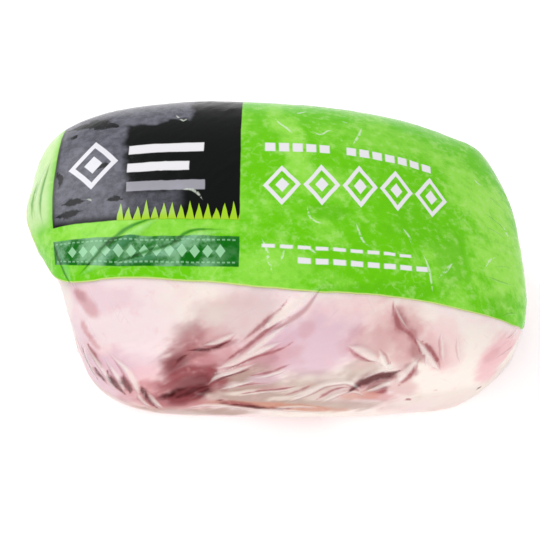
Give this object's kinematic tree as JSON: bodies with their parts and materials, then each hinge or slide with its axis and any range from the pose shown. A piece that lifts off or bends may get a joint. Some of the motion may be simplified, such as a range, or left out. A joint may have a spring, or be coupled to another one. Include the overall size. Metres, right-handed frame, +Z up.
{
  "type": "vacuum-packed raw lamb shoulder",
  "caption": "Boneless raw lamb shoulder sealed in a printed shrink bag: a cushion-shaped pack with a clear window along its front, lying flat on its base.",
  "frame": {"origin": "on the surface the pack lies on, under the middle of its outline", "axes": "+X along the pack, -Y towards the side with the clear window, +Z up"},
  "size_m": [0.2264, 0.1568, 0.0928],
  "materials": {
    "shrink_film": "tight glossy shrink film, printed lime green and charcoal, clear along the window",
    "lamb": "moist raw lamb seen through the window: pale pink fat with dark red muscle between"
  },
  "bodies": {
    "root": {"vacuum_pack": "shrink_film"}
  },
  "joints": []
}
